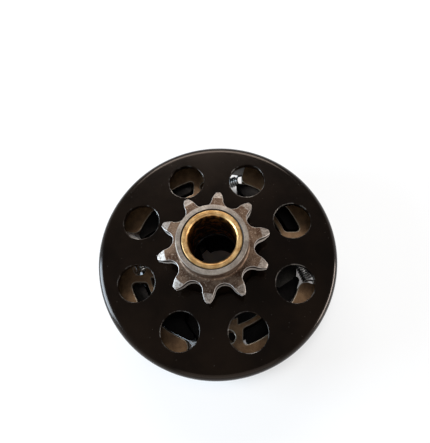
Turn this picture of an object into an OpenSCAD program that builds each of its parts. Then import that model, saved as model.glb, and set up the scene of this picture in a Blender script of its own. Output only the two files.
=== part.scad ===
// Centrifugal clutch with a ten-tooth sprocket, four sintered shoes and a keyed driver.
// The axis is Z, with the sprocket's nose up. The origin is on the axis, at the back of
// the driver's collar, on which the clutch stands.

/* [Drum] */
// Outer diameter of the drum
drum_od = 103.6; // [100:0.1:112]
// Depth of the drum, from its rim to its face
drum_depth = 25.4; // [24.6:0.1:30]
// Thickness of the drum's sheet
drum_wall = 2.6; // [2:0.1:3]
// Radius of the outer corner between face and wall
drum_corner = 3.5; // [3.2:0.1:6]
// Diameter of a vent hole
vent_d = 15.9; // [8:0.1:18]
// Land between a vent hole and the outside of the drum
vent_land = 7.85; // [5:0.05:10]

/* [Sprocket] */
// Number of teeth
teeth = 10; // [10:1:11]
// Pitch of the chain
chain_pitch = 12.7; // [12:0.1:13.5]
// Diameter of the chain's rollers
roller_d = 7.92; // [7.5:0.01:8.2]
// Thickness of the teeth
tooth_w = 5.6; // [4.5:0.1:6.5]
// Height of the teeth past the pitch circle
tooth_rise = 2.75; // [2.2:0.05:3.2]
// Distance from the drum's face to the front of the teeth
tooth_stand = 11.4; // [9:0.1:16]
// Diameter of the turned boss in front of and behind the teeth
boss_d = 28.5; // [27.8:0.1:30]
// Distance from the front of the teeth to the nose
boss_rise = 6.9; // [4:0.1:12]
// Fillet between the boss and the teeth
boss_fillet = 1; // [0.5:0.1:1.5]
// Diameter of the spigot in the drum's centre hole
spigot_d = 26.8; // [26.4:0.1:27.4]
// How far the swaged lip stands out past the spigot
lip = 1.6; // [0.8:0.1:2.5]

/* [Bushing and washer] */
// Diameter of the engine's shaft
shaft_d = 19.05; // [17:0.05:19.05]
// Radial running clearance of the shaft in the bushing
shaft_play = 0.03; // [0.01:0.01:0.08]
// Outer diameter of the bronze bushing
bushing_od = 23.9; // [23.4:0.1:24.6]
// Chamfer on the ends of the bushing
bushing_chamfer = 0.7; // [0.3:0.1:0.9]
// Thickness of the thrust washer
washer_t = 1.6; // [1:0.1:2.5]
// End play between the bushing and the thrust washer
end_play = 0.2; // [0.1:0.05:0.4]

/* [Driver] */
// Outer diameter of the hub and its collar
hub_d = 34; // [31:0.5:38]
// Length of the collar that stands out behind the drum
collar_len = 8; // [7.6:0.1:14]
// Gap between the core that the arms grow from and the shoes' heels
core_gap = 5.2; // [4:0.1:7]
// How far the hub stands out in front of the arms
hub_rise = 1.7; // [1:0.1:2.5]
// Width of the keyway
key_w = 4.76; // [4:0.01:5]
// Depth of the keyway
key_depth = 2.4; // [1.8:0.1:2.8]
// Diameter of the two set screws
set_screw_d = 6.35; // [4.8:0.05:6.6]
// Width across the flats of the set screws' hexagon socket
hex_socket = 3.2; // [2.5:0.1:3.6]
// Radial thickness of an arm's toe
toe_t = 5.1; // [4.4:0.1:5.2]

/* [Shoes] */
// Width of a shoe along the axis
shoe_w = 12.7; // [11:0.1:14]
// Gap between the shoes' front and the inside of the drum's face
front_gap = 6.4; // [5:0.1:8]
// Travel of a shoe until it meets the drum
shoe_travel = 1; // [0.5:0.05:1.3]
// Radial thickness of the band outside the slot
band_t = 8; // [7:0.1:9]
// Radial width of the slot
slot_w = 6.8; // [6.7:0.1:7.1]
// Radial thickness of the finger inside the slot
finger_t = 2.3; // [1.6:0.1:3]
// How far the band steps in from the slot's outer wall at its tip
tip_step = 1.8; // [1.2:0.1:2.2]
// Distance of the slot's flat end from the plane through the axis
slot_flat = 11.7; // [11.2:0.1:12.6]
// Radius of the corners at the slot's closed end
slot_corner = 1.6; // [0.8:0.1:2]
// Thickness of the spoke between the slot and the spring's pocket
spoke_t = 3.6; // [3.5:0.1:4.2]
// How far the heel stands in past the finger
heel_step = 2.6; // [1.5:0.1:3.4]
// Diameter of the spring pins in the shoe's heel and tip
pin_d = 1.4; // [1:0.1:1.5]

/* [Springs] */
// Outer diameter of the coil
coil_od = 5; // [4.2:0.1:5.4]
// Diameter of the wire
wire_d = 0.9; // [0.6:0.05:0.95]
// Number of turns of the coil
turns = 15; // [10:1:16]

/* [Retainers] */
// How far the plate behind the shoes reaches past the slot's inner wall
plate_lap = 3.9; // [2:0.1:6]
// Thickness of the plate behind the shoes
plate_t = 1.5; // [1:0.1:2.5]
// Thickness of the snap ring
snap_t = 1.2; // [1:0.1:1.6]
// Radial width of the snap ring
snap_w = 3; // [2.4:0.1:3.6]

/* [Hidden] */
$fn = 96;

// Clearances between pieces that move past each other, and of pieces that sit in each other
run_gap = 0.3;
seat_gap = 0.05;
eps = 0.01;

// Heights, from the back of the collar up to the nose
ring_z = collar_len;
plate_z = ring_z + snap_t;
arm_z = plate_z + plate_t;
shoe_z = arm_z + run_gap;
shoe_front = shoe_z + shoe_w;
inner_face = shoe_front + front_gap;
face_z = inner_face + drum_wall;
rim_z = face_z - drum_depth;
teeth_front = face_z + tooth_stand;
nose_z = teeth_front + boss_rise;
hub_front = shoe_front + hub_rise;
washer_top = hub_front + washer_t;
bushing_z = washer_top + end_play;
shoe_mid = shoe_z + shoe_w / 2;

// Drum
drum_r = drum_od / 2;
drum_ri = drum_r - drum_wall;
vent_n = 8;
vent_phase = 180 / vent_n;
vent_at = drum_r - vent_land - vent_d / 2;
rim_chamfer = 0.5;
vent_chamfer = 0.3;
least_corner = 0.4;

// Sprocket: pitch radius from the pitch and the number of teeth
pitch_r = chain_pitch / 2 / sin(180 / teeth);
seat_r = roller_d / 2 + 0.06;
tip_circle_r = pitch_r + tooth_rise;
tooth_phase = 85.5;
flank_r = 9;
flank_start = 24;
flank_end = 66;
flank_steps = 8;
bevel_r = pitch_r - 0.6;
bevel_depth = 1.5;
boss_r = boss_d / 2;
spigot_r = spigot_d / 2;
nose_chamfer = 0.4;

// Bushing and shaft
bore_r = shaft_d / 2;
bushing_r = bushing_od / 2;
lip_t = 1.5;

// Set screws in the collar: the first stands over the keyway
set_screw_a = [135, 225];
set_screw_z = collar_len / 2;
set_screw_in = [bore_r + key_depth + 0.1, bore_r + 0.1];
set_screw_sunk = 0.6;
socket_depth = 2;

// Shoes and driver, drawn for the shoe whose heel lies near the X axis
shoe_n = 4;
travel_a = 40;
travel_dir = [cos(travel_a), sin(travel_a)];
rub_r = drum_ri - run_gap;
slot_ro = rub_r - shoe_travel - band_t;
slot_r = slot_ro - slot_w;
tip_r = slot_ro - tip_step;
finger_ri = slot_r - finger_t;
heel_ri = finger_ri - heel_step;
core_r = heel_ri - core_gap;
finger_end_a = 40;
slot_end_a = 47;
heel_end_a = 1;
tip_end_a = 74;
tip_corner = 3.8;
tip_chamfer = 1.5;
heel_low = 3.4;
heel_high = slot_flat - 2.2;
toe_gap = 0.35;
toe_ro = slot_ro - toe_gap;
toe_ri = toe_ro - toe_t;
toe_flat = slot_flat + shoe_travel * sin(travel_a) + run_gap;
toe_corner = 1.4;
arm_r = tip_r - run_gap - 0.1;
arm_start_a = 44;
nose_half = 1.5;
nose_end_a = tip_end_a - 0.8;
nose_mid_a = tip_end_a - 4;
nose_mid_r = arm_r - 4.5;
nose_low_a = tip_end_a - 10.8;
nose_low_r = arm_r - 6.9;
root_end_a = 57;
root_r = core_r - 3;

// Spring pins: one in the heel, and one in the tip of the shoe before it
pin_wall = 2.3;
pin_back = 2.3;
heel_pin_at = [slot_r, slot_flat - pin_back];
tip_pin_a = tip_end_a - 2.2 - 360 / shoe_n;
tip_pin_at = (rub_r - shoe_travel - pin_d / 2 - pin_wall) * [cos(tip_pin_a), sin(tip_pin_a)];
pin_blind = 2.4;
pin_sunk = 0.2;
eye_cut_w = wire_d + 1.1;
eye_cut_r = pin_d / 2 + wire_d + 0.25;

// Springs: from the tip pin of one shoe to the heel pin of the next
spring_vec = heel_pin_at - tip_pin_at;
spring_len = norm(spring_vec);
spring_a = atan2(spring_vec[1], spring_vec[0]);
coil_r = (coil_od - wire_d) / 2;
coil_start = 5;
coil_end = spring_len - 4.4;
pocket_r = coil_od / 2 + 0.25;
pocket_end = spring_len - (spoke_t - pin_back) - pocket_r;
coil_pitch = (coil_end - coil_start) / turns;
eye_open_a = 50;
lead_len = 1.2;
lead_turns = 0.25;
wire_sides = 6;
turn_steps = 10;
eye_steps = 8;

// A wedge of the plane from angle a0 to a1, wide enough for every piece
module wedge(a0, a1) {
    reach = drum_od;
    mid = (a0 + a1) / 2;
    polygon([[0, 0], reach * [cos(a0), sin(a0)], reach * 1.2 * [cos(mid), sin(mid)],
             reach * [cos(a1), sin(a1)]]);
}

// A piece of a ring from angle a0 to a1
module band(r0, r1, a0, a1) {
    intersection() {
        difference() {
            circle(r1);
            circle(r0);
        }
        wedge(a0, a1);
    }
}

// A round spot at radius r and angle a
module spot(r, a, spot_r) {
    translate(r * [cos(a), sin(a)])
        circle(spot_r, $fn = 48);
}

// Pressed steel bell: flat face, rounded corner, eight vents and a centre hole
module drum() {
    inner_corner = max(drum_corner - drum_wall, least_corner);
    color([0.1, 0.09, 0.09])
    difference() {
        rotate_extrude($fn = 180)
            difference() {
                union() {
                    translate([spigot_r, inner_face])
                        square([drum_r - drum_corner - spigot_r, drum_wall]);
                    translate([drum_ri, rim_z])
                        square([drum_wall, drum_depth - drum_corner]);
                    intersection() {
                        translate([drum_r - drum_corner, face_z - drum_corner])
                            circle(drum_corner);
                        translate([drum_r - drum_corner, face_z - drum_corner])
                            square(drum_corner);
                    }
                    translate([drum_ri - inner_corner, inner_face - inner_corner])
                        square(inner_corner);
                }
                translate([drum_ri - inner_corner, inner_face - inner_corner])
                    circle(inner_corner);
                translate([drum_r, rim_z])
                    rotate(45)
                        square(rim_chamfer * sqrt(2), center = true);
            }
        for (i = [0 : vent_n - 1])
            rotate(vent_phase + i * 360 / vent_n)
                translate([vent_at, 0, 0]) {
                    translate([0, 0, inner_face - 1])
                        cylinder(r = vent_d / 2, h = drum_wall + 2);
                    translate([0, 0, face_z - vent_chamfer])
                        cylinder(r1 = vent_d / 2, r2 = vent_d / 2 + 2 * vent_chamfer, h = 2 * vent_chamfer);
                }
    }
}

// Flank of a tooth gap that opens along +X: an arc that leaves the roller seat
function flank(side) = [
    for (i = [0 : flank_steps])
        let (b = flank_start + (flank_end - flank_start) * i / flank_steps)
            [pitch_r - seat_r * sin(flank_start) + flank_r * (sin(b) - sin(flank_start)),
             side * (seat_r * cos(flank_start) + flank_r * (cos(flank_start) - cos(b)))]
];

// Space between two teeth: the roller's seat and its two flanks
module tooth_gap() {
    upper = flank(1);
    lower = flank(-1);
    translate([pitch_r, 0])
        circle(seat_r, $fn = 48);
    polygon(concat([[pitch_r, 0]], upper, [for (i = [flank_steps : -1 : 0]) lower[i]]));
}

// Outline of the teeth
module tooth_outline() {
    difference() {
        circle(tip_circle_r);
        for (i = [0 : teeth - 1])
            rotate(tooth_phase + (i + 0.5) * 360 / teeth)
                tooth_gap();
    }
}

// Sprocket: bevelled teeth, turned boss before and behind them, and the swaged spigot
module sprocket() {
    color([0.45, 0.4, 0.35])
    difference() {
        union() {
            intersection() {
                translate([0, 0, teeth_front - tooth_w])
                    linear_extrude(tooth_w)
                        tooth_outline();
                rotate_extrude()
                    polygon([[0, teeth_front - tooth_w], [bevel_r, teeth_front - tooth_w],
                             [tip_circle_r + eps, teeth_front - tooth_w + bevel_depth],
                             [tip_circle_r + eps, teeth_front - bevel_depth],
                             [bevel_r, teeth_front], [0, teeth_front]]);
            }
            rotate_extrude() {
                translate([0, face_z])
                    square([boss_r, tooth_stand]);
                translate([0, teeth_front])
                    square([boss_r, boss_rise - nose_chamfer]);
                polygon([[0, nose_z - nose_chamfer], [boss_r, nose_z - nose_chamfer],
                         [boss_r - nose_chamfer, nose_z], [0, nose_z]]);
                translate([0, inner_face])
                    square([spigot_r, drum_wall]);
                translate([0, inner_face - lip_t])
                    square([spigot_r + lip, lip_t]);
                difference() {
                    translate([boss_r - eps, teeth_front - eps])
                        square(boss_fillet + eps);
                    translate([boss_r + boss_fillet, teeth_front + boss_fillet])
                        circle(boss_fillet, $fn = 48);
                }
            }
        }
        translate([0, 0, inner_face - lip_t - 1])
            cylinder(r = bushing_r, h = nose_z - inner_face + lip_t + 2);
        translate([0, 0, nose_z - nose_chamfer])
            cylinder(r1 = bushing_r, r2 = bushing_r + 2 * nose_chamfer, h = 2 * nose_chamfer);
    }
}

// Sintered bronze sleeve with chamfered ends, pressed into the sprocket
module bushing() {
    inner_r = bore_r + shaft_play;
    outer_chamfer = 0.4;
    color([0.72, 0.55, 0.3])
    rotate_extrude()
        polygon([[inner_r + bushing_chamfer, bushing_z], [bushing_r - outer_chamfer, bushing_z],
                 [bushing_r, bushing_z + outer_chamfer], [bushing_r, nose_z - outer_chamfer],
                 [bushing_r - outer_chamfer, nose_z], [inner_r + bushing_chamfer, nose_z],
                 [inner_r, nose_z - bushing_chamfer], [inner_r, bushing_z + bushing_chamfer]]);
}

// Flat washer between the driver's hub and the bushing
module thrust_washer() {
    washer_ri = bore_r + 0.3;
    washer_ro = spigot_r + lip;
    color([0.6, 0.6, 0.6])
    translate([0, 0, hub_front])
        difference() {
            cylinder(r = washer_ro, h = washer_t);
            translate([0, 0, -1])
                cylinder(r = washer_ri, h = washer_t + 2);
        }
}

// Outline of one arm: root, nose under the shoe's tip, and toe in the shoe's slot
module arm_outline() {
    far = arm_r * 1.2;
    nose_r = arm_r - nose_half;
    intersection() {
        circle(arm_r);
        polygon([root_r * [cos(arm_start_a), sin(arm_start_a)],
                 far * [cos(arm_start_a), sin(arm_start_a)],
                 far * [cos(nose_end_a), sin(nose_end_a)],
                 (nose_r - nose_half) * [cos(nose_end_a), sin(nose_end_a)],
                 nose_mid_r * [cos(nose_mid_a), sin(nose_mid_a)],
                 nose_low_r * [cos(nose_low_a), sin(nose_low_a)],
                 root_r * [cos(root_end_a), sin(root_end_a)]]);
    }
    spot(nose_r, nose_end_a, nose_half);
    toe_outline();
}

// Toe: a ring piece with a flat end and two round corners
module toe_outline() {
    inner = sqrt(pow(toe_ri + toe_corner, 2) - pow(toe_flat + toe_corner, 2));
    outer = sqrt(pow(toe_ro - toe_corner, 2) - pow(toe_flat + toe_corner, 2));
    intersection() {
        band(toe_ri, toe_ro, 0, slot_end_a);
        translate([0, toe_flat + toe_corner])
            square(drum_r);
    }
    translate([inner, toe_flat])
        square([outer - inner, toe_corner * 1.5]);
    translate([inner, toe_flat + toe_corner])
        circle(toe_corner, $fn = 48);
    translate([outer, toe_flat + toe_corner])
        circle(toe_corner, $fn = 48);
}

// Keyed hub with its collar, snap ring groove, set screw holes and four arms
module driver() {
    hub_r = hub_d / 2;
    groove_r = hub_r - snap_w / 2;
    bore_chamfer = 0.6;
    color([0.13, 0.13, 0.15])
    difference() {
        union() {
            translate([0, 0, arm_z])
                linear_extrude(shoe_front - arm_z)
                    union() {
                        circle(core_r);
                        for (i = [0 : shoe_n - 1])
                            rotate(i * 360 / shoe_n)
                                arm_outline();
                    }
            cylinder(r = hub_r, h = arm_z + eps);
            translate([0, 0, shoe_front - eps])
                cylinder(r = spigot_r + lip, h = hub_rise + eps);
        }
        translate([0, 0, -1])
            cylinder(r = bore_r, h = hub_front + 2);
        translate([0, 0, -bore_chamfer])
            cylinder(r1 = bore_r + 2 * bore_chamfer, r2 = bore_r, h = 2 * bore_chamfer);
        rotate(set_screw_a[0])
            translate([0, -key_w / 2, -1])
                cube([bore_r + key_depth, key_w, hub_front + 2]);
        translate([0, 0, ring_z])
            difference() {
                cylinder(r = hub_r + 1, h = snap_t);
                translate([0, 0, -1])
                    cylinder(r = groove_r, h = snap_t + 2);
            }
        for (a = set_screw_a)
            rotate(a)
                translate([0, 0, set_screw_z])
                    rotate([0, 90, 0])
                        cylinder(r = set_screw_d / 2 + seat_gap, h = hub_r + 1, $fn = 48);
    }
}

// Set screws with hexagon sockets: one over the keyway and one a quarter turn on
module set_screws() {
    screw_out = hub_d / 2 - set_screw_sunk;
    color([0.2, 0.2, 0.22])
    for (i = [0, 1]) {
        screw_len = screw_out - set_screw_in[i];
        rotate(set_screw_a[i])
            translate([set_screw_in[i], 0, set_screw_z])
                rotate([0, 90, 0])
                    difference() {
                        cylinder(r = set_screw_d / 2, h = screw_len, $fn = 48);
                        translate([0, 0, screw_len - socket_depth])
                            cylinder(r = hex_socket / 2 / cos(30), h = socket_depth + 1, $fn = 6);
                    }
    }
}

// Plate on the hub behind the arms, which keeps the shoes from sliding off backwards
module back_plate() {
    color([0.3, 0.3, 0.31])
    translate([0, 0, plate_z])
        difference() {
            cylinder(r = slot_r + plate_lap, h = plate_t);
            translate([0, 0, -1])
                cylinder(r = hub_d / 2 + seat_gap, h = plate_t + 2);
        }
}

// Open ring in the hub's groove, with two ears for the pliers
module snap_ring() {
    ring_ri = hub_d / 2 - snap_w / 2 + seat_gap;
    ring_ro = ring_ri + snap_w;
    gap_a = 24;
    ear_r = 2.1;
    ear_hole_r = 0.8;
    ear_in = 0.4;
    ear_a = gap_a / 2 + 5;
    color([0.35, 0.35, 0.36])
    translate([0, 0, ring_z])
        linear_extrude(snap_t)
            difference() {
                union() {
                    band(ring_ri, ring_ro, gap_a / 2, 180);
                    band(ring_ri, ring_ro, 180, 360 - gap_a / 2);
                    for (side = [-1, 1])
                        spot(ring_ro - ear_in, side * ear_a, ear_r);
                }
                for (side = [-1, 1])
                    spot(ring_ro, side * ear_a, ear_hole_r);
                circle(ring_ri);
            }
}

// Space of the slot that takes the toe: a ring piece with two round corners at its flat end
module slot_outline() {
    inner = sqrt(pow(slot_r + slot_corner, 2) - pow(slot_flat + slot_corner, 2));
    outer = sqrt(pow(slot_ro - slot_corner, 2) - pow(slot_flat + slot_corner, 2));
    intersection() {
        band(slot_r, slot_ro, 0, slot_end_a + 1);
        translate([0, slot_flat + slot_corner])
            square(drum_r);
    }
    translate([inner, slot_flat])
        square([outer - inner, slot_corner * 1.5]);
    translate([inner, slot_flat + slot_corner])
        circle(slot_corner, $fn = 48);
    translate([outer, slot_flat + slot_corner])
        circle(slot_corner, $fn = 48);
}

// Space outside a round corner, between the directions a0 and a1 from the corner's centre
module corner_space(corner_r, a0, a1) {
    reach = corner_r * 1.6;
    mid = (a0 + a1) / 2;
    difference() {
        polygon([[0, 0], reach * [cos(a0), sin(a0)], reach * sqrt(2) * [cos(mid), sin(mid)],
                 reach * [cos(a1), sin(a1)]]);
        circle(corner_r + eps, $fn = 48);
    }
}

// Tip of the band: a round inner corner and a chamfered outer one
module tip_outline() {
    corner_at = tip_r + tip_corner;
    corner_a = tip_end_a - asin(tip_corner / corner_at);
    end_r = rub_r - shoe_travel * cos(tip_end_a - travel_a);
    difference() {
        band(tip_r, drum_r, slot_end_a, tip_end_a);
        translate(corner_at * [cos(corner_a), sin(corner_a)])
            corner_space(tip_corner, corner_a + 180, tip_end_a + 90);
        translate(end_r * [cos(tip_end_a), sin(tip_end_a)])
            rotate(tip_end_a + 45)
                square(tip_chamfer * sqrt(2), center = true);
    }
}

// Level strip of a ring, from y0 to y1
module ring_strip(r0, r1, y0, y1) {
    intersection() {
        difference() {
            circle(r1);
            circle(r0);
        }
        translate([0, y0])
            square([r1, y1 - y0]);
    }
}

// Round-ended pocket in the heel, along the spring's line
module pocket_outline() {
    translate(tip_pin_at)
        rotate(spring_a) {
            translate([0, -pocket_r])
                square([pocket_end, 2 * pocket_r]);
            translate([pocket_end, 0])
                circle(pocket_r, $fn = 48);
        }
}

// Outline of a shoe in its rest place: band and tip, heel with its pocket, and finger
module shoe_outline() {
    intersection() {
        translate(-shoe_travel * travel_dir)
            circle(rub_r, $fn = 180);
        difference() {
            union() {
                band(slot_ro, drum_r, heel_end_a, slot_end_a);
                tip_outline();
                ring_strip(heel_ri, drum_r, heel_low, heel_high);
                ring_strip(finger_ri, drum_r, heel_low, slot_flat + slot_corner);
                intersection() {
                    band(finger_ri, slot_r, 0, finger_end_a);
                    ring_strip(finger_ri, slot_r, heel_low, drum_r);
                }
            }
            slot_outline();
            pocket_outline();
        }
    }
    spot(slot_r - finger_t / 2, finger_end_a, finger_t / 2);
}

// Sintered shoe with its slot, its two pin holes and the cuts for the springs' eyes
module shoe(i) {
    color([0.55, 0.44, 0.33])
    rotate(i * 360 / shoe_n)
        difference() {
            translate([0, 0, shoe_z])
                linear_extrude(shoe_w)
                    shoe_outline();
            eye_cut(heel_pin_at, -1);
            rotate(360 / shoe_n)
                eye_cut(tip_pin_at, 1);
        }
}

// Pin hole from the back, and the cut at half width that the spring's eye lies in
module eye_cut(at, side) {
    reach = coil_start;
    cut_half = pocket_r - 0.35;
    translate([at[0], at[1], shoe_z - 1])
        cylinder(r = pin_d / 2 + seat_gap, h = shoe_w - pin_blind + 1, $fn = 48);
    translate([at[0], at[1], shoe_mid - eye_cut_w / 2])
        linear_extrude(eye_cut_w) {
            circle(eye_cut_r, $fn = 48);
            rotate(spring_a)
                translate([side > 0 ? 0 : -reach, -cut_half])
                    square([reach, 2 * cut_half]);
        }
}

// Pin pushed in from the back, which holds a spring's eye
module spring_pin(at) {
    color([0.12, 0.12, 0.13])
    translate([at[0], at[1], shoe_z + pin_sunk])
        cylinder(r = pin_d / 2, h = shoe_w - pin_blind - 2 * pin_sunk, $fn = 48);
}

// Pin in the shoe's heel
module heel_pin(i) {
    rotate(i * 360 / shoe_n)
        spring_pin(heel_pin_at);
}

// Pin in the shoe's tip
module tip_pin(i) {
    rotate((i + 1) * 360 / shoe_n)
        spring_pin(tip_pin_at);
}

// Route of the spring's wire along X: an eye, the coil and the second eye
function eye(cx, a0, a1) = [
    for (i = [0 : eye_steps])
        let (a = a0 + (a1 - a0) * i / eye_steps, r = (pin_d + wire_d) / 2 + seat_gap)
            [cx + r * cos(a), r * sin(a), 0]
];
function coil() = [
    for (i = [0 : turns * turn_steps])
        let (t = i / turn_steps,
             begin = pow(max(0, 1 - t / lead_turns), 2),
             end = pow(max(0, 1 - (turns - t) / lead_turns), 2))
            [coil_start + t * coil_pitch - lead_len * (begin - end), -coil_r * cos(360 * t), -coil_r * sin(360 * t)]
];
spring_route = concat(eye(0, eye_open_a, 270), coil(), eye(spring_len, -90, 180 - eye_open_a));

// Sweep of a round wire along a route, with its cross-section carried on without twist
function unit(v) = v / norm(v);
function heading(p, i) = unit(p[min(i + 1, len(p) - 1)] - p[max(i - 1, 0)]);
function carried(n, t) = unit(n - (n * t) * t);
module wire(p, r) {
    count = len(p);
    normals = [for (i = 0, n = carried([0, 0, 1], heading(p, 0)); i < count;
                    i = i + 1, n = carried(n, heading(p, min(i, count - 1)))) n];
    rings = [for (i = [0 : count - 1])
        let (t = heading(p, i), b = cross(t, normals[i]))
            for (s = [0 : wire_sides - 1])
                p[i] + r * (cos(360 * s / wire_sides) * normals[i] + sin(360 * s / wire_sides) * b)];
    walls = [for (i = [0 : count - 2]) for (s = [0 : wire_sides - 1])
        let (n = (s + 1) % wire_sides)
            each [[i * wire_sides + s, i * wire_sides + n, (i + 1) * wire_sides + n],
                  [i * wire_sides + s, (i + 1) * wire_sides + n, (i + 1) * wire_sides + s]]];
    polyhedron(rings, concat([[for (s = [wire_sides - 1 : -1 : 0]) s]], walls,
               [[for (s = [0 : wire_sides - 1]) (count - 1) * wire_sides + s]]));
}

// Extension spring from the tip of shoe i to the heel of the next
module spring(i) {
    color([0.75, 0.75, 0.72])
    rotate((i + 1) * 360 / shoe_n)
        translate([tip_pin_at[0], tip_pin_at[1], shoe_mid])
            rotate(spring_a)
                wire(spring_route, wire_d / 2);
}

drum();
sprocket();
bushing();
thrust_washer();
driver();
back_plate();
snap_ring();
set_screws();
for (i = [0 : shoe_n - 1]) {
    shoe(i);
    heel_pin(i);
    tip_pin(i);
    spring(i);
}
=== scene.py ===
import math

import bmesh
import bpy
import numpy as np
from mathutils import Matrix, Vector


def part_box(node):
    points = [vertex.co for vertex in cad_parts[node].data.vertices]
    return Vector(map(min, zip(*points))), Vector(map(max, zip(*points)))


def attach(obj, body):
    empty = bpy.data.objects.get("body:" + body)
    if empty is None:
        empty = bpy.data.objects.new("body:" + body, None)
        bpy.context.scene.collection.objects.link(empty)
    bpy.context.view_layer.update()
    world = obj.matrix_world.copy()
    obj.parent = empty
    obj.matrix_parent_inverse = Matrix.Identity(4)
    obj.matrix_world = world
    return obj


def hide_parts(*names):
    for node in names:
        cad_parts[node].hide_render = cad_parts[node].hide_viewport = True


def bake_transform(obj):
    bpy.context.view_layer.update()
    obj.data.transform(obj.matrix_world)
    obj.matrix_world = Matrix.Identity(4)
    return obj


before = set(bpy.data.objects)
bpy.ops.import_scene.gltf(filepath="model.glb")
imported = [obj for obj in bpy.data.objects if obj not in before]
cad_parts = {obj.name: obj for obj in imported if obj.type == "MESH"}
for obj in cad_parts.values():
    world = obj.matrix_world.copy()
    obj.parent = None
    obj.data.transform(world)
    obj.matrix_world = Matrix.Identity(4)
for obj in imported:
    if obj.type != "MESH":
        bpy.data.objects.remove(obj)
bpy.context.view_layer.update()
mm = 0.001

# Driver: one sintered steel star with a keyed hub. Its four hooked arms carry the shoes,
# and black oxide covers it, with every hard edge rounded by a bevel.


class Shade:
    """A socket of one material's nodes. Operators add Math nodes, and node() adds any other kind."""

    def __init__(self, tree, socket=None):
        self.tree, self.socket = tree, socket

    def node(self, kind, settings=None, sockets=None, out=0):
        """Adds a node: first its settings, then the values or links of its sockets."""
        made = self.tree.nodes.new("ShaderNode" + kind)
        for name, value in (settings or {}).items():
            setattr(made, name, value)
        for name, value in (sockets or {}).items():
            if isinstance(value, Shade):
                self.tree.links.new(value.socket, made.inputs[name])
            else:
                made.inputs[name].default_value = value
        return Shade(self.tree, made.outputs[out])

    def math(self, operation, *values):
        return self.node("Math", {"operation": operation}, dict(enumerate(values)))

    def __add__(self, other):
        return self.math("ADD", self, other)

    __radd__ = __add__

    def __sub__(self, other):
        return self.math("SUBTRACT", self, other)

    def __rsub__(self, other):
        return self.math("SUBTRACT", other, self)

    def __mul__(self, other):
        return self.math("MULTIPLY", self, other)

    __rmul__ = __mul__

    def __truediv__(self, other):
        return self.math("DIVIDE", self, other)

    def between(self, low, high):
        """0 where this is below low, 1 above high, and a smooth step from one to the other."""
        return self.node("MapRange", {"interpolation_type": "SMOOTHSTEP"}, {0: self, 1: low, 2: high})

    def mix(self, low, high):
        """Colour that runs from low to high as this mask runs from 0 to 1."""
        return self.node("Mix", {"data_type": "RGBA"}, {0: self, 6: low, 7: high}, out=2)

    def noise(self, scale, detail=2.0, roughness=0.5):
        """Cloudy pattern at these coordinates, with so many clouds to the metre."""
        return self.node("TexNoise", None, {"Vector": self, "Scale": scale, "Detail": detail,
                                            "Roughness": roughness})

    def cells(self, scale):
        """Distance to the nearest of many scattered points, with so many points to the metre."""
        return self.node("TexVoronoi", None, {"Vector": self, "Scale": scale})

    def stretched(self, x, y, z):
        """These coordinates, each multiplied by its own number."""
        return self.node("VectorMath", {"operation": "MULTIPLY"}, {0: self, 1: (x, y, z)})

    def axis(self, letter):
        """One coordinate of this place."""
        return self.node("SeparateXYZ", None, {0: self}, out="XYZ".index(letter))

    def attribute(self, name):
        """Number that the mesh carries under a name."""
        return self.node("Attribute", {"attribute_name": name}, out=2)

    def radius(self):
        """Distance from the clutch's axis."""
        flat = self.stretched(1, 1, 0)
        return self.node("VectorMath", {"operation": "LENGTH"}, {0: flat}, out=1)

    def bump(self, distance):
        """Normal of a surface that stands out by this height times a distance."""
        return self.node("Bump", None, {"Height": self, "Distance": distance})


def material(name, **constants):
    """A material with its shader's constants set. Gives the material, its shader and the piece's coordinates."""
    made = bpy.data.materials.new(name)
    made.use_nodes = True
    shader = made.node_tree.nodes["Principled BSDF"]
    for socket, value in constants.items():
        shader.inputs[socket.replace("_", " ")].default_value = value
    return made, shader, Shade(made.node_tree).node("TexCoord", out=3)


def feed(shader, **sockets):
    """Links what varies over the surface to the shader's sockets."""
    for name, value in sockets.items():
        value.tree.links.new(value.socket, shader.inputs[name.replace("_", " ")])


def steel(name, dark, light, grain, rough, relief, metallic=1.0, rim=1.0):
    """Plain metal: two tones in soft patches, fine grain in its gloss and a slight relief. Rim is how much it
    mirrors at a flat angle."""
    made, shader, place = material(name, Metallic=metallic, Specular_Tint=(rim, rim, rim, 1))
    patches = place.noise(120, 8, 0.72)
    fine = place.noise(grain, 3, 0.6)
    tone = (patches * 0.6 + fine * 0.4).between(0.32, 0.68)
    feed(shader, Base_Color=tone.mix((*dark, 1), (*light, 1)), Roughness=patches * 0.2 + fine * 0.15 + (rough - 0.17),
         Normal=fine.bump(relief))
    return made


def dress(node, finish):
    """Gives a piece of the frame its finish."""
    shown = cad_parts[node]
    if not shown.material_slots:
        shown.data.materials.append(finish)
    for place in shown.material_slots:
        place.material = finish


def softened(node, name, body, finish, edge):
    """A copy of a frame piece: merged, its flats joined and every hard edge rounded by a bevel."""
    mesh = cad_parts[node].data.copy()
    mesh.name = name
    work = bmesh.new()
    work.from_mesh(mesh)
    bmesh.ops.remove_doubles(work, verts=work.verts, dist=0.002 * mm)
    bmesh.ops.dissolve_limit(work, angle_limit=math.radians(1), verts=work.verts, edges=work.edges)
    work.to_mesh(mesh)
    work.free()
    mesh.materials.clear()
    mesh.materials.append(finish)
    mesh.polygons.foreach_set("use_smooth", np.ones(len(mesh.polygons), bool))
    made = bpy.data.objects.new(name, mesh)
    bpy.context.scene.collection.objects.link(made)
    rounded = made.modifiers.new("edge", "BEVEL")
    rounded.width = edge
    rounded.segments = 2
    rounded.limit_method = "ANGLE"
    rounded.angle_limit = math.radians(28)
    rounded.harden_normals = True
    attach(made, body)
    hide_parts(node)
    return made


black_oxide = steel("black_oxide", (0.005, 0.0045, 0.0045), (0.014, 0.012, 0.011), 2600, 0.42, 0.006 * mm, 0.8, 0.25)
softened("driver", "driver_star", "driver", black_oxide, 0.25 * mm)

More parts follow.
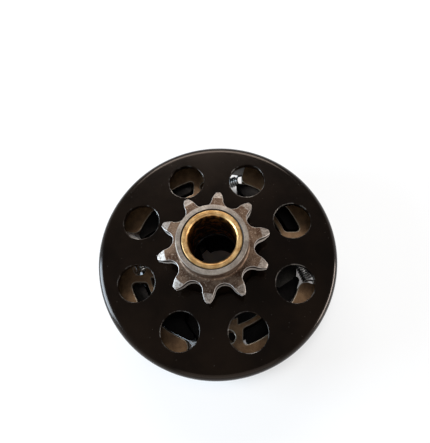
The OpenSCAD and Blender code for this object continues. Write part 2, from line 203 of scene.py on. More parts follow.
# Set screws: two hexagon socket screws in the driver's collar, black oxide like the driver.
# They are the frame's own solids with a darker, finer finish.
screw_black = steel("screw_black", (0.02, 0.02, 0.022), (0.05, 0.05, 0.052), 5000, 0.35, 0.004 * mm, 0.8)
dress("set_screws", screw_black)

# Shoes: four pressed and sintered bands that slide out on the driver's arms and rub on the
# drum. The metal is tan and open-grained, and the chamfer along every pressed edge is painted pale as a highlight.
shoe_low, shoe_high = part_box("shoe_1")
shoe_back_z, shoe_front_z = shoe_low.z / mm, shoe_high.z / mm
rub_r = 48.9
shoe_travel = 1.0
slot_wall = (33.1, 39.9)
slot_flat = 11.7
slot_corner = 1.6
finger_r = 30.8
finger_end = 40.0
heel_r = 28.2
heel_y = (3.4, 9.5)
heel_end = 1.0
slide_way = 40.0
slot_end = 48.0
tip_inner_r = 38.1
tip_end = 74.0
tip_round = 3.8
tip_bevel = 1.5
heel_pin = np.array([33.1, 9.4])
tip_pin = 44.9 * np.array([math.cos(math.radians(-18.2)), math.sin(math.radians(-18.2))])
pocket_half = 2.75
pocket_wall = 1.3
chamfer = 0.4


def at(radius, angle):
    """Point at a radius and an angle, as one row."""
    return radius * np.array([[math.cos(math.radians(angle)), math.sin(math.radians(angle))]])


def arc(radius, start, end, centre=(0, 0)):
    """Points of an arc: the centre plus the radius times the cosine and sine of even angles."""
    count = max(3, int(abs(math.radians(end - start)) * radius / 0.3))
    angle = np.radians(np.linspace(start, end, count))
    return np.column_stack([np.cos(angle), np.sin(angle)]) * radius + np.asarray(centre)


def softened_outline(parts, spacing, softness):
    """Closed outline at even steps of its length, each point averaged with its neighbours by a bell curve."""
    p = np.vstack([*parts, parts[0][:1]])
    along = np.concatenate([[0], np.cumsum(np.hypot(*np.diff(p, axis=0).T))])
    count = int(along[-1] / spacing)
    s = np.linspace(0, along[-1], count, endpoint=False)
    p = np.column_stack([np.interp(s, along, p[:, 0]), np.interp(s, along, p[:, 1])])
    away = np.minimum(np.arange(count), count - np.arange(count)) * along[-1] / count
    bell = np.exp(-0.5 * (away / softness) ** 2)
    bell /= bell.sum()
    return np.real(np.fft.ifft(np.fft.fft(p, axis=0) * np.fft.fft(bell)[:, None], axis=0))


def outward(outline):
    """Unit normals of an anticlockwise outline: the chord between a point's neighbours, turned right."""
    chord = np.roll(outline, -1, 0) - np.roll(outline, 1, 0)
    chord /= np.hypot(*chord.T)[:, None]
    return np.column_stack([chord[:, 1], -chord[:, 0]])


def quads(rows, columns, rows_close=False, columns_close=True):
    """Four-cornered faces of a grid of rows by columns, which may close on itself either way."""
    row = np.arange(rows if rows_close else rows - 1)[:, None]
    column = np.arange(columns if columns_close else columns - 1)[None, :]
    next_row, next_column = (row + 1) % rows, (column + 1) % columns
    corners = np.broadcast_arrays(row * columns + column, row * columns + next_column,
                                  next_row * columns + next_column, next_row * columns + column)
    return np.stack(corners, -1).reshape(-1, 4)


def build(name, points, faces, finish, body, nodes):
    """Puts arrays of points (mm) and faces into a mesh, and ties the piece to the frame. A piece without
    a body of its own is left untied."""
    mesh = bpy.data.meshes.new(name)
    corners = np.concatenate([f.ravel() for f in faces])
    sizes = np.concatenate([np.full(len(f), f.shape[1]) for f in faces])
    mesh.vertices.add(len(points))
    mesh.vertices.foreach_set("co", (points * mm).ravel())
    mesh.loops.add(len(corners))
    mesh.loops.foreach_set("vertex_index", corners)
    mesh.polygons.add(len(sizes))
    mesh.polygons.foreach_set("loop_start", np.concatenate([[0], np.cumsum(sizes)[:-1]]))
    mesh.polygons.foreach_set("use_smooth", np.ones(len(sizes), bool))
    mesh.update(calc_edges=True)
    mesh.materials.append(finish)
    made = bpy.data.objects.new(name, mesh)
    bpy.context.scene.collection.objects.link(made)
    if body:
        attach(made, body)
    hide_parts(*nodes)
    return made


def inset_outline(outline, inset):
    """Outline moved in along its normals. Where a corner folds over itself, its points lie nearer to the
    outline than the inset, and they are spread along the straight line between their good neighbours."""
    moved = outline - inset * outward(outline)
    away = np.hypot(*(moved[:, None] - outline[None]).transpose(2, 0, 1)).min(1)
    good = np.flatnonzero(away > inset * 0.985)
    if inset == 0 or len(good) == len(outline):
        return moved
    count = len(outline)
    place = np.arange(count)
    return np.column_stack([np.interp(place, good, moved[good, i], period=count) for i in (0, 1)])


def carry(shown, name, values):
    """Gives every vertex of a piece a number that its material reads."""
    shown.data.attributes.new(name, "FLOAT", "POINT").data.foreach_set("value", values.astype(np.float32))


def slab(outline, low, high, edge):
    """Slab of an outline from low to high. Each row is the outline moved in along its normals, so that the
    edges turn over in a rounded chamfer, and a face closes either end."""
    turn = np.radians(np.linspace(0, 90, 4))
    inset = edge * (1 - np.cos(turn))
    drop = edge * (1 - np.sin(turn))
    moved = np.concatenate([[edge * 1.4], inset[::-1], inset, [edge * 1.4]])
    height = np.concatenate([[low], low + drop[::-1], high - drop, [high]])
    rows = np.array([inset_outline(outline, m) for m in moved])
    points = np.concatenate([rows, np.broadcast_to(height[:, None, None], (*rows.shape[:2], 1))], 2)
    count, columns = rows.shape[:2]
    back = np.arange(columns)[::-1][None]
    front = (np.arange(columns) + (count - 1) * columns)[None]
    return points.reshape(-1, 3), [quads(count, columns), back, front]


def shoe_outline():
    """Outline of the shoe whose heel lies near the X axis, anticlockwise from the heel's outer corner."""
    centre = -shoe_travel * at(1, slide_way)
    end_r = rub_r - shoe_travel * math.cos(math.radians(tip_end - slide_way))
    inner_y = slot_flat + slot_corner
    inner_x = math.sqrt((slot_wall[0] + slot_corner) ** 2 - inner_y ** 2)
    outer_x = math.sqrt((slot_wall[1] - slot_corner) ** 2 - inner_y ** 2)
    inner_a = math.degrees(math.atan2(inner_y, inner_x))
    outer_a = math.degrees(math.atan2(inner_y, outer_x))
    round_r = tip_inner_r + tip_round
    round_a = tip_end - math.degrees(math.asin(tip_round / round_r))
    way = (heel_pin - tip_pin) / np.hypot(*(heel_pin - tip_pin))
    way_a = math.degrees(math.atan2(way[1], way[0]))
    pocket = heel_pin - way * (pocket_wall + pocket_half)
    beside = pocket_half * np.array([way[1], -way[0]])

    def mouth(side):
        wall = pocket + side * beside
        return (wall - way * (wall[1] - heel_y[0]) / way[1])[None]

    def level(radius, y):
        return math.degrees(math.asin(y / radius))

    return [arc(rub_r, heel_end + 0.8, tip_end - 1.6, centre[0]),
            at(end_r - tip_bevel, tip_end),
            arc(tip_round, tip_end + 90, round_a + 180, at(round_r, round_a)[0]),
            arc(tip_inner_r, round_a, slot_end),
            arc(slot_wall[1], slot_end, outer_a),
            arc(slot_corner, outer_a, -90, (outer_x, inner_y)),
            arc(slot_corner, 270, 180 + inner_a, (inner_x, inner_y)),
            arc(slot_wall[0], inner_a, finger_end),
            arc((slot_wall[0] - finger_r) / 2, finger_end, finger_end + 180,
                at((slot_wall[0] + finger_r) / 2, finger_end)[0]),
            arc(finger_r, finger_end, level(finger_r, heel_y[1])),
            arc(heel_r, level(heel_r, heel_y[1]), level(heel_r, heel_y[0])),
            mouth(-1),
            arc(pocket_half, way_a + 90, way_a - 90, pocket),
            mouth(1),
            arc(slot_wall[1], level(slot_wall[1], heel_y[0]), heel_end)]


sinter, shader, place = material("sintered_tan", Specular_IOR_Level=0.5)
pores = place.cells(2600).between(0.1, 0.28)
mottle = place.noise(260, 5, 0.65)
grain = place.noise(2400, 3, 0.7)
edge = place.attribute("edge")
tan = mottle.between(0.3, 0.72).mix((0.17, 0.092, 0.043, 1), (0.32, 0.188, 0.094, 1))
# Painted highlight: the chamfer rows, by their edge number, are mixed towards a pale tan.
tan = (edge * (mottle + 0.45)).between(0.3, 0.9).mix(tan, (0.5, 0.43, 0.34, 1))
feed(shader, Base_Color=pores.mix((0.05, 0.032, 0.02, 1), tan), Roughness=grain * 0.3 - edge * 0.12 + 0.36,
     Metallic=mottle * 0.3 + 0.35, Normal=(grain * 0.4 + pores * 0.6).bump(0.03 * mm))

turn_to = [np.array([[math.cos(a), math.sin(a)], [-math.sin(a), math.cos(a)]])
           for a in np.radians([0, 90, 180, 270])]
shoe_shape = softened_outline(shoe_outline(), 0.2, 0.22)
for k, turned in enumerate(turn_to):
    points, faces = slab(shoe_shape @ turned, shoe_back_z, shoe_front_z, chamfer)
    shoe = build(f"shoe_band_{k + 1}", points, faces, sinter, f"shoe_{k + 1}", [f"shoe_{k + 1}"])
    # Edge number of each row of the slab: the chamfer rows carry the painted highlight.
    wear_and_painted_light_rows = np.repeat([0, 0.5, 1, 1, 0, 0, 1, 1, 0.5, 0], len(shoe_shape))
    carry(shoe, "edge", wear_and_painted_light_rows)

# Spring pins: eight short drawn pins, one in each shoe's heel and one in its tip.
pin_finish = steel("pin_drawn", (0.3, 0.3, 0.3), (0.5, 0.5, 0.49), 4000, 0.3, 0.003 * mm)
for k in range(1, 5):
    dress(f"heel_pin_{k}", pin_finish)
    dress(f"tip_pin_{k}", pin_finish)

# Springs: four close-wound extension springs of zinc plated wire, painted darker as shade, hooked from one shoe's
# tip to the next shoe's heel. Each is built in two halves, one from its tip and one from its heel.
wire_r = 0.45
coil_r = 2.05
coil_turns = 15
coil_from = 5.0
coil_to_heel = 4.4
eye_r = 1.2
eye_open = 50.0
wire_sides = 12
shoe_mid_z = (shoe_back_z + shoe_front_z) / 2


def spring_route():
    """Centre line of the wire along X: an eye, the coil's helix and the second eye. Also gives, for each
    point, the direction that its section starts from: the spring's axis in the coil, or else Z."""
    length = np.hypot(*(heel_pin - tip_pin))
    turn = np.linspace(0, coil_turns, coil_turns * 28 + 1)
    pitch = (length - coil_to_heel - coil_from) / coil_turns
    lead = 1.2 * (np.clip(1 - 4 * turn, 0, 1) ** 2 - np.clip(1 - 4 * (coil_turns - turn), 0, 1) ** 2)
    coil = np.column_stack([coil_from + turn * pitch - lead, -coil_r * np.cos(2 * np.pi * turn),
                            -coil_r * np.sin(2 * np.pi * turn)])
    first, last = arc(eye_r, eye_open, 270), arc(eye_r, -90, 180 - eye_open, (length, 0))
    line = np.vstack([np.pad(first, ((0, 0), (0, 1))), coil, np.pad(last, ((0, 0), (0, 1)))])
    way = np.gradient(line, axis=0)
    across_axis = np.abs(way[:, 0]) < 0.7 * np.linalg.norm(way, axis=1)
    place = np.arange(len(line))
    coiled = across_axis & (place >= len(first)) & (place < len(first) + len(coil))
    return line, np.where(coiled[:, None], [1.0, 0, 0], [0, 0, 1.0])


def tube(route, lean, radius, sides):
    """Round tube along a route: rings of the radius times the cosine and sine of even angles, square to
    the route. Each ring starts from the part of its lean that is square to the route."""
    way = np.gradient(route, axis=0)
    way /= np.linalg.norm(way, axis=1)[:, None]
    across = lean - way * (way * lean).sum(1)[:, None]
    across /= np.linalg.norm(across, axis=1)[:, None]
    other = np.cross(way, across)
    angle = np.linspace(0, 2 * np.pi, sides, endpoint=False)
    rings = route[:, None] + radius * (np.cos(angle)[None, :, None] * across[:, None]
                                       + np.sin(angle)[None, :, None] * other[:, None])
    ends = [np.arange(sides)[::-1][None], (np.arange(sides) + (len(route) - 1) * sides)[None]]
    return rings.reshape(-1, 3), [quads(len(route), sides), *ends]


# Painted shade: the zinc wire is coloured darker than bright plating, for the shade inside the drum.
zinc_in_painted_shade = steel("zinc_wire_painted_shade", (0.24, 0.237, 0.23), (0.48, 0.47, 0.46), 5000, 0.3, 0.004 * mm)
route, lean = spring_route()
spring_way = math.atan2(*(heel_pin - tip_pin)[::-1])
lay = np.array([[math.cos(spring_way), math.sin(spring_way)], [-math.sin(spring_way), math.cos(spring_way)]])
half = len(route) // 2
for k, turned in enumerate(turn_to):
    tail = turn_to[(k + 1) % 4]
    laid = np.column_stack([(route[:, :2] @ lay + tip_pin) @ tail, route[:, 2] + shoe_mid_z])
    leaning = np.column_stack([lean[:, :2] @ lay @ tail, lean[:, 2]])
    for part, owner in (("tip", k + 1), ("heel", (k + 1) % 4 + 1)):
        reach = slice(0, half + 1) if part == "tip" else slice(half, None)
        points, faces = tube(laid[reach], leaning[reach], wire_r, wire_sides)
        made = build(f"spring_{k + 1}_{part}_half", points, faces, zinc_in_painted_shade, None, [f"spring_{k + 1}"])
        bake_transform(made)

# Back plate and snap ring: the stamped plate keeps the shoes on the arms, and the ring in the
# collar's groove keeps the plate. The plate is painted dark as shade, and the ring is dark phosphated steel. Thrust
# washer: between hub and bushing.
# Painted shade: the back plate's colour is darker than its stamped steel, for the shade inside the drum.
plate_in_painted_shade = steel("plate_stamped_painted_shade", (0.045, 0.04, 0.036), (0.105, 0.097, 0.09), 1800, 0.48, 0.01 * mm, 1, 0.6)
ring_steel = steel("ring_phosphated", (0.1, 0.1, 0.105), (0.18, 0.18, 0.185), 3500, 0.45, 0.006 * mm)
washer_steel = steel("washer_plain", (0.42, 0.42, 0.42), (0.58, 0.57, 0.56), 3000, 0.3, 0.004 * mm)
dress("back_plate", plate_in_painted_shade)
dress("snap_ring", ring_steel)
dress("thrust_washer", washer_steel)

# Drum: a bell pressed from 2.6 mm sheet, with eight punched vents and a rounded shoulder.
# Semi-gloss black paint covers it, thin and worn to bright metal round the punched edges.
drum_low, drum_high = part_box("drum")
drum_r, rim_z, face_z = (v / mm for v in (drum_high.x, drum_low.z, drum_high.z))
drum_wall = 2.6
shoulder_r = 3.5
vents = 8
vent_r = 7.95
vent_at = 36.0
hole_r = 13.4
vent_edge = 0.3
rim_edge = 0.6
sector_inner, sector_outer = 26.5, 45.6
along_arc, along_side = 36, 20
inner_z = face_z - drum_wall


def turned_edge(radius, start, end, centre, count=7):
    """Rounded edge of a profile: points of an arc in the plane of radius and height."""
    a = np.radians(np.linspace(start, end, count))
    return np.column_stack([centre[0] + radius * np.cos(a), centre[1] + radius * np.sin(a)])


def revolved(profile, angles):
    """Profile of radius and height carried round the axis: one row of points for each of its points."""
    r, z = profile[:, 0, None], profile[:, 1, None]
    flat = np.broadcast_arrays(r * np.cos(angles), r * np.sin(angles), z + 0 * angles)
    return np.stack(flat, -1)


def drum_surface():
    """Shell of the drum: a ring of eight vent sectors, the shoulder and wall outside it, and the
    centre hole inside it. A sector's rows shrink from its border to the vent along rays from the vent's centre."""
    step = 360 / vents
    across = np.linspace(-step / 2, step / 2, along_arc + 1)
    down = np.linspace(sector_outer, sector_inner, along_side + 1)
    border_r = np.concatenate([np.full(along_arc, sector_outer), down[:-1],
                               np.full(along_arc, sector_inner), down[:0:-1]])
    border_a = np.radians(np.concatenate([across[:-1], np.full(along_side, step / 2),
                                          across[:0:-1], np.full(along_side, -step / 2)]))
    border = np.column_stack([border_r * np.cos(border_a) - vent_at, border_r * np.sin(border_a)])
    reach = np.hypot(*border.T)
    ray = border / reach[:, None]
    flat = np.array([1, 0.7, 0.4, 0.15, 0.04])
    front = vent_r + vent_edge + flat[:, None] * (reach - vent_r - vent_edge)
    over = turned_edge(vent_edge, 90, 180, (vent_r + vent_edge, face_z - vent_edge))
    under = turned_edge(vent_edge, 180, 270, (vent_r + vent_edge, inner_z + vent_edge))
    wall = np.vstack([over, under])
    rows = np.vstack([front, np.broadcast_to(wall[:, :1], (len(wall), len(reach))), front[::-1]])
    heights = np.concatenate([np.full(len(flat), face_z), wall[:, 1], np.full(len(flat), inner_z)])
    worn = np.concatenate([0 * flat, np.ones(len(over)), 0.3 * np.ones(len(under)), 0 * flat])
    points, faces, wear = [], [], []
    start = 0
    for k in range(vents):
        a = math.radians(step * (k + 0.5))
        x = vent_at + rows * ray[:, 0]
        y = rows * ray[:, 1]
        points.append(np.stack([x * math.cos(a) - y * math.sin(a), x * math.sin(a) + y * math.cos(a),
                                np.broadcast_to(heights[:, None], rows.shape)], -1).reshape(-1, 3))
        faces.append(quads(*rows.shape) + start)
        wear.append(np.repeat(worn, rows.shape[1]))
        start += rows.size
    around = np.radians(np.arange(vents * along_arc) * step / along_arc)
    inner_round = 0.9
    outside = np.vstack([
        [[sector_outer, inner_z], [drum_r - drum_wall - inner_round - 0.3, inner_z]],
        turned_edge(inner_round, 90, 0, (drum_r - drum_wall - inner_round, inner_z - inner_round)),
        turned_edge(rim_edge, 180, 270, (drum_r - drum_wall + rim_edge, rim_z + rim_edge)),
        turned_edge(rim_edge, 270, 360, (drum_r - rim_edge, rim_z + rim_edge)),
        [[drum_r, rim_z + 3], [drum_r, face_z - shoulder_r - 2]],
        turned_edge(shoulder_r, 0, 90, (drum_r - shoulder_r, face_z - shoulder_r), 13),
        [[drum_r - shoulder_r - 0.3, face_z], [sector_outer, face_z]]])
    inside = np.array([[sector_inner, face_z], [20, face_z], [hole_r, face_z], [hole_r, inner_z],
                       [20, inner_z], [sector_inner, inner_z]])
    rim_worn = 0.8 * np.exp(-((outside[:, 1] - rim_z) / 0.35) ** 2)
    for profile, wear_and_painted_light_rows in ((outside, rim_worn), (inside, np.zeros(len(inside)))):
        surface = revolved(profile, around)
        points.append(surface.reshape(-1, 3))
        faces.append(quads(*surface.shape[:2]) + start)
        wear.append(np.repeat(wear_and_painted_light_rows, len(around)))
        start += surface.shape[0] * surface.shape[1]
    return np.vstack(points), faces, np.concatenate(wear)


paint, shader, place = material("black_paint", Specular_IOR_Level=0.22, Specular_Tint=(1, 0.8, 0.68, 1))
worn = place.attribute("wear")
cloud = place.noise(45, 4, 0.6)
peel = place.noise(420, 2, 0.4)
chipped = (worn + place.noise(160, 4, 0.7) * 1.6).between(1.74, 2.1)
coat = cloud.between(0.3, 0.7).mix((0.0014, 0.0007, 0.0004, 1), (0.005, 0.0026, 0.0014, 1))
dust = place.cells(420).between(0.035, 0.06)
coat = dust.mix((0.05, 0.042, 0.035, 1), coat)
feed(shader, Base_Color=chipped.mix(coat, (0.17, 0.155, 0.14, 1)), Metallic=chipped * 0.9,
     Roughness=cloud * 0.08 + peel * 0.04 + chipped * 0.2 + 0.12, Normal=peel.bump(0.006 * mm))

points, faces, wear = drum_surface()
drum = build("drum_bell", points, faces, paint, "drum", ["drum"])
carry(drum, "wear", wear)
joined = bmesh.new()
joined.from_mesh(drum.data)
bmesh.ops.remove_doubles(joined, verts=joined.verts, dist=0.001 * mm)
joined.to_mesh(drum.data)
joined.free()

# Sprocket: ten teeth, a turned boss before and behind them and a spigot swaged into the drum.
# It is one hardened steel piece, brown with oxide on the flat faces and brighter where turned.
sprocket_low, sprocket_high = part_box("sprocket")
spigot_z, nose_z = sprocket_low.z / mm, sprocket_high.z / mm
teeth = 10
pitch_r = 12.7 / 2 / math.sin(math.pi / teeth)
seat_r = 4.02
flank_r = 9.0
flank_from, flank_to = 24.0, 66.0
tooth_tip_r = pitch_r + 2.75
tooth_turn = 85.5
tooth_width = 5.6
tooth_front_z = nose_z - 6.9
bevel_from_r = pitch_r - 0.6
bevel_drop = 1.5
boss_r = 14.25
boss_round = 1.0
bush_r = 11.95
tooth_edge = 0.22


def tooth_outline():
    """Outline of the teeth: for each gap the roller's seat, then a flank, the tip circle and the next flank."""
    gap = 360 / teeth
    flank_a = np.radians(np.linspace(flank_from, flank_to, 24))
    lean = math.radians(flank_from)
    x = pitch_r - seat_r * math.sin(lean) + flank_r * (np.sin(flank_a) - math.sin(lean))
    y = seat_r * math.cos(lean) + flank_r * (math.cos(lean) - np.cos(flank_a))
    kept = np.hypot(x, y) < tooth_tip_r
    upper = np.column_stack([x, y])[kept]
    seat = arc(seat_r, 270 - flank_from, 90 + flank_from, (pitch_r, 0))
    tip_a = math.degrees(math.atan2(*upper[-1][::-1]))
    tip = arc(tooth_tip_r, tip_a + 0.4, gap - tip_a - 0.4)
    one = np.vstack([(upper * [1, -1])[::-1], seat, upper, tip])
    parts = []
    for k in range(teeth):
        a = math.radians(tooth_turn + (k + 0.5) * gap)
        parts.append(one @ np.array([[math.cos(a), math.sin(a)], [-math.sin(a), math.cos(a)]]))
    return parts


def sprocket_surface():
    """The whole sprocket as one closed sheet: a row goes round the axis, and the rows run from the bore
    over the nose, down the boss, out over the teeth, back to the boss, to the spigot's lip and the bore."""
    edge_line = softened_outline(tooth_outline(), 0.16, 0.16)
    normal = outward(edge_line)
    over = np.radians(np.linspace(0, 90, 5))
    angle = np.unwrap(np.arctan2(*(edge_line - tooth_edge * normal).T[::-1]))
    bore = bush_r

    def bevel(r):
        return np.clip((r - bevel_from_r) / (tooth_tip_r - bevel_from_r), 0, None) * bevel_drop

    def round_row(r, z):
        return np.column_stack([r * np.cos(angle), r * np.sin(angle), np.full(len(angle), z)])

    def face_rows(side):
        """Rows on one face of the teeth, from the boss to the edge; side is 1 in front and -1 behind."""
        surface_z = tooth_front_z if side > 0 else tooth_front_z - tooth_width
        rows = []
        end = edge_line - tooth_edge * normal
        end_r = np.hypot(*end.T)
        start_r = boss_r + (boss_round if side > 0 else 0.3)
        crease_r = np.minimum(end_r, bevel_from_r)
        for t in (0.15, 0.35, 0.6, 0.85, 0.98, 1):
            rows.append(start_r + (crease_r - start_r) * t)
        for t in (0.03, 0.3, 0.7, 1):
            rows.append(crease_r + (end_r - crease_r) * t)
        shown = [np.column_stack([r * np.cos(angle), r * np.sin(angle), surface_z - side * bevel(r)])
                 for r in rows]
        for a in over[1:]:
            out = edge_line - normal * tooth_edge * (1 - np.sin(a))
            sink = tooth_edge * (1 - np.cos(a))
            shown.append(np.column_stack([out, surface_z - side * (bevel(np.hypot(*out.T)) + sink)]))
        return shown

    top = [round_row(bore, nose_z - 2), round_row(bore, nose_z - 0.35), round_row(bore + 0.35, nose_z),
           round_row(bore + 0.5, nose_z)]
    for r, z in turned_edge(0.3, 90, 0, (boss_r - 0.3, nose_z - 0.3), 6):
        top.append(round_row(r, z))
    for r, z in turned_edge(boss_round, 180, 270, (boss_r + boss_round, tooth_front_z + boss_round), 8):
        top.append(round_row(r, z))
    tail = [round_row(boss_r + 0.3, tooth_front_z - tooth_width)]
    for r, z in turned_edge(0.3, 90, 180, (boss_r + 0.3, tooth_front_z - tooth_width - 0.3), 5):
        tail.append(round_row(r, z))
    for r, z in turned_edge(0.5, 180, 270, (boss_r + 0.5, face_z + 0.5), 6):
        tail.append(round_row(r, z))
    lip_r, lip_z = hole_r + 1.6, inner_z
    tail += [round_row(hole_r, face_z - 0.01), round_row(hole_r, lip_z + 0.01), round_row(lip_r, lip_z - 0.01),
             round_row(lip_r, spigot_z + 0.4), round_row(lip_r - 0.4, spigot_z), round_row(bore, spigot_z)]
    front, back = face_rows(1), face_rows(-1)[::-1]
    side = [front[-1] + (back[0] - front[-1]) * t for t in (0.08, 0.42, 0.55, 0.92)]
    rows = top + front + side + back + tail
    rounded = len(over) - 1
    # Rows of painted light: the rounded tooth edges (1) get a painted highlight, the lower half of the tooth sides
    # (1.6) painted light, and the upper half (-1) is painted darker.
    wear_and_painted_light_rows = np.zeros(len(rows))
    first = len(top) + len(front) - rounded
    wear_and_painted_light_rows[first:first + 2 * rounded + 4] = [*[1] * rounded, -1, -1, 1.6, 1.6, *[1] * rounded]
    return np.array(rows), np.repeat(wear_and_painted_light_rows, len(edge_line))


hard, shader, place = material("sprocket_steel")
r = place.radius()
lathe = (r * 1000).node("TexNoise", {"noise_dimensions": "1D"}, {"W": r * 1000, "Scale": 9.0, "Detail": 3.0})
smudge = place.noise(230, 5, 0.65)
scale = place.noise(1500, 5, 0.8)
turned_band = place.axis("Z").between((nose_z - 0.8) * mm, (nose_z - 0.3) * mm)
tip_band = r.between((bevel_from_r - 0.1) * mm, (bevel_from_r + 0.15) * mm)
brown = smudge.between(0.35, 0.68).mix((0.06, 0.029, 0.016, 1), (0.17, 0.11, 0.073, 1))
brown = scale.between(0.52, 0.66).mix(brown, (0.32, 0.245, 0.185, 1))
bright = (smudge * 0.5 + scale * 0.5).between(0.36, 0.64).mix((0.15, 0.115, 0.09, 1), (0.33, 0.275, 0.225, 1))
edge_tone = (scale * 0.7 + smudge * 0.3).between(0.4, 0.6).mix((0.1, 0.07, 0.05, 1), (0.36, 0.31, 0.27, 1))
# The edge rows carry painted highlight on the rounded tooth edges, painted light on the lower half of the tooth sides
# and a darker upper half.
edge = place.attribute("edge")
skin = tip_band.mix(turned_band.mix(brown, bright), edge_tone)
skin = (edge * (scale * 0.6 + 0.6)).between(0.35, 0.95).mix(skin, (0.46, 0.41, 0.37, 1))
skin = (edge * -1).between(0.1, 0.8).mix(skin, (0.045, 0.03, 0.022, 1))
# Painted shade: a dark ring on the nose in the gap round the bushing.
bushing_gap_shade = turned_band * (1 - r.between((bush_r + 0.38) * mm, (bush_r + 0.5) * mm))
skin = bushing_gap_shade.mix(skin, (0.02, 0.012, 0.008, 1))
feed(shader, Base_Color=skin, Metallic=0.85 - edge.between(1.05, 1.25) * 0.7 - turned_band * 0.35,
     Roughness=smudge * 0.2 + lathe * 0.1 + (1 - turned_band) * 0.1 + 0.28,
     Normal=(lathe * turned_band * 0.7 + scale * 0.8).bump(0.03 * mm))
surface, painted_light_edges = sprocket_surface()
sprocket = build("sprocket_ten", surface.reshape(-1, 3), [quads(*surface.shape[:2], rows_close=True)[:, ::-1]],
                 hard, "drum", ["sprocket"])
carry(sprocket, "edge", painted_light_edges)
cleaned = bmesh.new()
teeth_mesh = sprocket.data
cleaned.from_mesh(teeth_mesh)
bmesh.ops.remove_doubles(cleaned, verts=cleaned.verts, dist=0.001 * mm)
cleaned.to_mesh(teeth_mesh)
cleaned.free()

# Bushing: a sintered bronze sleeve pressed into the sprocket, oiled, with a broad chamfer in
# front that shows small pits and scratches from handling. Its bore wall is painted dark as shade.
bush_low, bush_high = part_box("bushing")
bush_back_z = bush_low.z / mm
shaft_r = 9.555
bush_bevel = 0.7
outer_bevel = 0.35


def bushing_surface():
    """Section of the sleeve with chamfered and slightly rounded corners, carried round the axis."""
    n = 96
    profile = np.array([
        [shaft_r, bush_back_z + bush_bevel], [shaft_r + bush_bevel, bush_back_z],
        [bush_r - outer_bevel, bush_back_z], [bush_r, bush_back_z + outer_bevel],
        [bush_r, nose_z - outer_bevel], [bush_r - outer_bevel, nose_z],
        [shaft_r + bush_bevel, nose_z], [shaft_r, nose_z - bush_bevel]])
    dense = softened_outline([profile], 0.12, 0.1)
    around = np.radians(np.arange(n) * 360 / n)
    return revolved(dense, around)


bronze, shader, place = material("oiled_bronze", Metallic=1.0)
r = place.radius()
pits = place.cells(1500).between(0.1, 0.22)
smear = place.noise(320, 5, 0.7)
rings = (r * 1000).node("TexNoise", {"noise_dimensions": "1D"}, {"W": r * 1000, "Scale": 14.0, "Detail": 2.0})
gold = smear.between(0.3, 0.7).mix((0.34, 0.175, 0.06, 1), (0.6, 0.4, 0.185, 1))
# Painted shade: the bore wall and the start of its chamfer are painted dark, with a few orange patches.
clear_of_bore_shade = r.between((shaft_r + 0.02) * mm, (shaft_r + 0.3) * mm)
gold = clear_of_bore_shade.mix(smear.between(0.46, 0.62).mix((0.07, 0.03, 0.011, 1), (0.62, 0.28, 0.075, 1)), gold)
cast = place.noise(2600, 3, 0.7)
feed(shader, Base_Color=pits.mix((0.06, 0.032, 0.014, 1), gold), Roughness=smear * 0.25 + cast * 0.2 + 0.22,
     Normal=(pits * 0.6 + rings * 0.4 + cast * 0.6).bump(0.035 * mm))
surface = bushing_surface()
build("bronze_sleeve", surface.reshape(-1, 3), [quads(*surface.shape[:2], rows_close=True)[:, ::-1]],
      bronze, "drum", ["bushing"])

# Studio: a pale floor under the collar, a large soft lamp beyond the clutch, a strip on either
# side, and the camera where the photograph was taken from.
floor_size = 8.0
floor_mesh = bpy.data.meshes.new("floor")
corner = floor_size / 2
floor_mesh.from_pydata([(-corner, -corner, 0), (corner, -corner, 0), (corner, corner, 0), (-corner, corner, 0)],
                       [], [(0, 1, 2, 3)])
floor = bpy.data.objects.new("floor", floor_mesh)
floor_finish, shader, place = material("pale_floor", Roughness=0.7, Base_Color=(0.86, 0.86, 0.86, 1))
seen = place.node("LightPath") + place.node("LightPath", out=3) + place.node("LightPath", out=6)
white = place.node("Emission", None, {"Color": (1, 1, 1, 1), "Strength": 1.0})
lift = seen * place.radius().between(0.042, 0.06) * 0.8
lifted = place.node("MixShader", None, {0: lift, 1: Shade(place.tree, shader.outputs[0]), 2: white})
place.tree.links.new(lifted.socket, place.tree.nodes["Material Output"].inputs["Surface"])
floor_mesh.materials.append(floor_finish)
bpy.context.scene.collection.objects.link(floor)


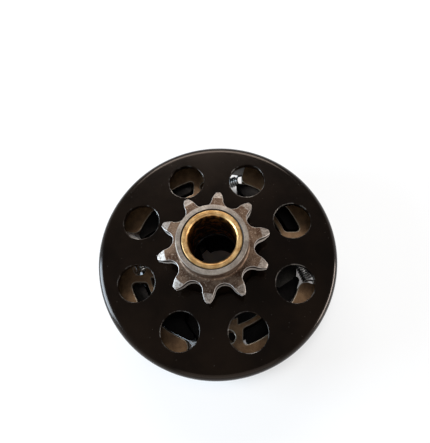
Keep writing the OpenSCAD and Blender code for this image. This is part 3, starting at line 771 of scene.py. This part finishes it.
def lamp(name, place, aim, size, power, colour):
    """Rectangular soft lamp that points at a place."""
    data = bpy.data.lights.new(name, "AREA")
    data.shape = "RECTANGLE"
    data.size, data.size_y = size
    data.energy = power
    data.color = colour
    made = bpy.data.objects.new(name, data)
    way = Matrix.Translation(place).translation - Matrix.Translation(aim).translation
    made.matrix_world = Matrix.Translation(place) @ way.to_track_quat("Z", "Y").to_matrix().to_4x4()
    bpy.context.scene.collection.objects.link(made)


lamp("key", (-0.06, 0.5, 0.47), (0, 0, 0.03), (0.5, 0.26), 4.0, (1, 0.98, 0.95))
lamp("left_window", (-0.44, -0.04, 0.16), (0, 0, 0.03), (0.22, 0.3), 5.2, (0.62, 0.81, 1))
lamp("front_panel", (0.05, -0.55, 0.3), (0, 0, 0.03), (0.6, 0.4), 0.75, (1, 0.97, 0.94))
lamp("right_window", (0.5, -0.08, 0.1), (0, 0, 0.03), (0.3, 0.1), 2.0, (1, 0.98, 0.96))

world = bpy.data.worlds.new("studio")
world.use_nodes = True
sky = world.node_tree.nodes["Background"]
sky.inputs["Color"].default_value = (0.95, 0.97, 1, 1)
sky.inputs["Strength"].default_value = 0.25
place = Shade(world.node_tree).node("TexCoord")
seen = place.node("LightPath") + place.node("LightPath", out=3) + place.node("LightPath", out=6)
pale = place.node("Background", None, {"Color": (1, 1, 1, 1), "Strength": 0.9})
low_sky = seen * (1 - place.axis("Z").between(0.12, 0.5))
backdrop = place.node("MixShader", None, {0: low_sky, 1: Shade(place.tree, sky.outputs[0]), 2: pale})
place.tree.links.new(backdrop.socket, place.tree.nodes["World Output"].inputs["Surface"])
bpy.context.scene.world = world


def turn_matrix(vector):
    """Rotation by the vector's length about its direction."""
    x, y, z = vector
    angle = math.sqrt(x * x + y * y + z * z)
    return Matrix.Rotation(angle, 4, (x / angle, y / angle, z / angle))


photo_turn = Matrix.Rotation(math.radians(2.047), 4, "Z")
eye_place = photo_turn @ Matrix.Translation((0.011009, -0.046268, 0.163317)).translation
camera = bpy.data.objects.new("camera", bpy.data.cameras.new("camera"))
camera.data.sensor_width = 36
camera.data.lens = 32.17
camera.data.clip_start = 0.005
camera.matrix_world = (Matrix.Translation((eye_place.x, eye_place.y, eye_place.z + face_z * mm))
                       @ photo_turn @ turn_matrix((0.350, 0.069, -0.032)))
bpy.context.scene.collection.objects.link(camera)
bpy.context.scene.camera = camera
bpy.context.scene.view_settings.view_transform = "Standard"
